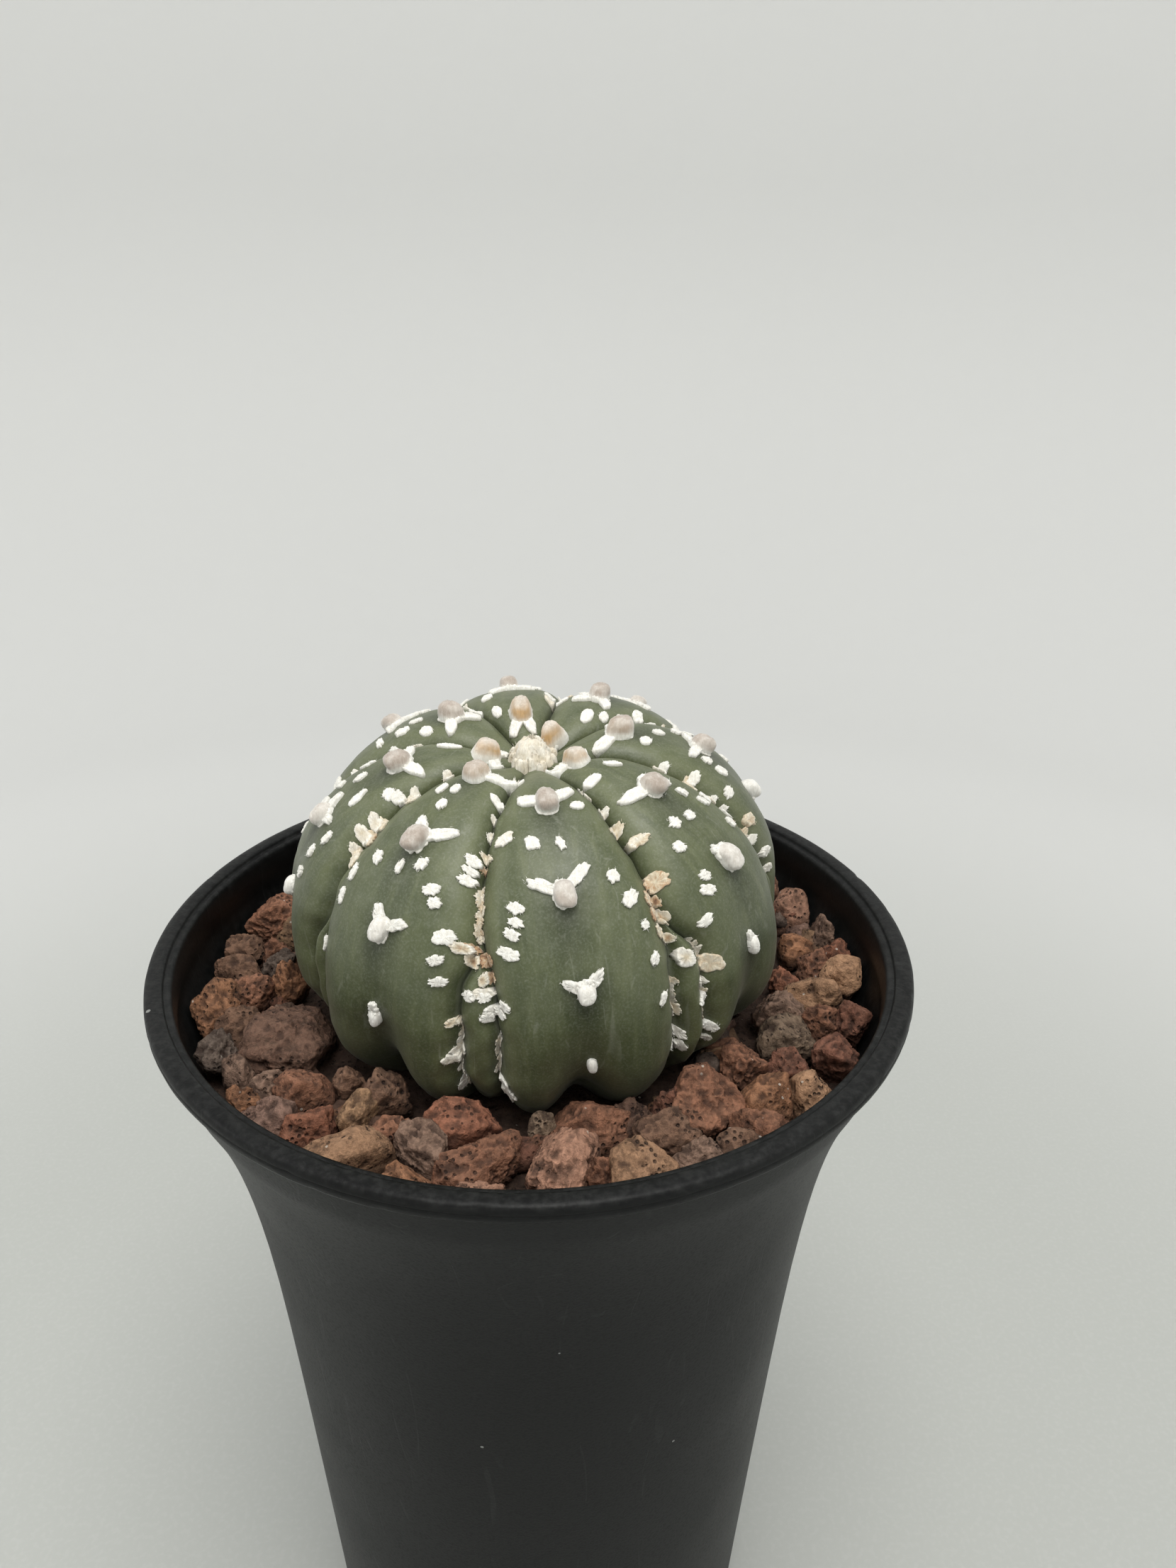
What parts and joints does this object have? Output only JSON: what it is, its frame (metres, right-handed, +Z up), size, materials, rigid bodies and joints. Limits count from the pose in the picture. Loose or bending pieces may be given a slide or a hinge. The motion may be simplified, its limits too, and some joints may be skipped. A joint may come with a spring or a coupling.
{
  "type": "potted sand dollar cactus",
  "caption": "Flattened round ribbed cactus with white flecks and woolly areoles, standing in lava gravel in a tall flared black plastic pot.",
  "frame": {"origin": "middle of the pot's underside, on the surface it stands on", "axes": "+Z up, -Y towards the viewer of the picture, +X to the viewer's right"},
  "size_m": [0.105, 0.105, 0.172],
  "materials": {
    "pot": "moulded black plastic, fine matte grain, light dust and scuffs",
    "soil": "loose peaty growing mix",
    "gravel": "porous red-brown lava stones",
    "cactus": "dull grey-green waxy skin with white woolly flecks and pale areoles"
  },
  "bodies": {
    "root": {"pot": "pot", "soil": "soil", "gravel": "gravel", "cactus": "cactus"}
  },
  "joints": []
}
